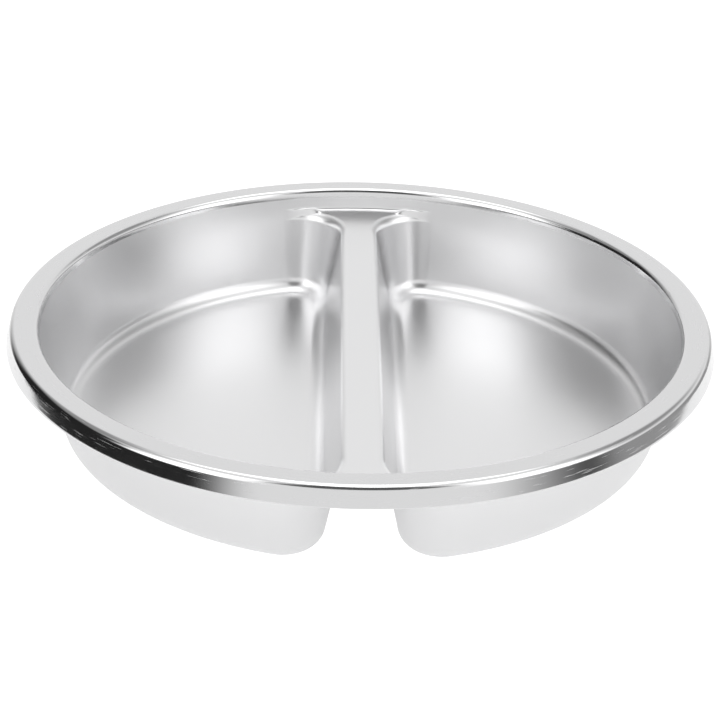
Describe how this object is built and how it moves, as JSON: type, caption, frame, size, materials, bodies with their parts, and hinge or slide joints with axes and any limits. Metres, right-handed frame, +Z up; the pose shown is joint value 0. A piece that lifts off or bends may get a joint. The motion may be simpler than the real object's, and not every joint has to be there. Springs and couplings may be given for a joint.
{
  "type": "divided round food pan",
  "caption": "Round steel food pan with a flat turned-down rim and two D-shaped compartments, which hangs in a round chafing dish.",
  "frame": {"origin": "under the middle of the pan, at the level of its two flat bottoms", "axes": "+Z up out of the pan, +Y along the divider, +X across it to the right compartment"},
  "size_m": [0.3869, 0.387, 0.062],
  "materials": {
    "polished_steel": "polished rim with fine handling scratches",
    "satin_steel": "soft bright finish, as pressed and lightly buffed"
  },
  "bodies": {
    "root": {"rim_edge": "polished_steel", "rim_flange": "polished_steel", "upper_wall": "satin_steel", "divider": "satin_steel", "left_wall_front": "satin_steel", "left_wall_back": "satin_steel", "left_bend_front": "satin_steel", "left_bend_back": "satin_steel", "left_bottom": "satin_steel", "right_wall_front": "satin_steel", "right_wall_back": "satin_steel", "right_bend_front": "satin_steel", "right_bend_back": "satin_steel", "right_bottom": "satin_steel"}
  },
  "joints": []
}
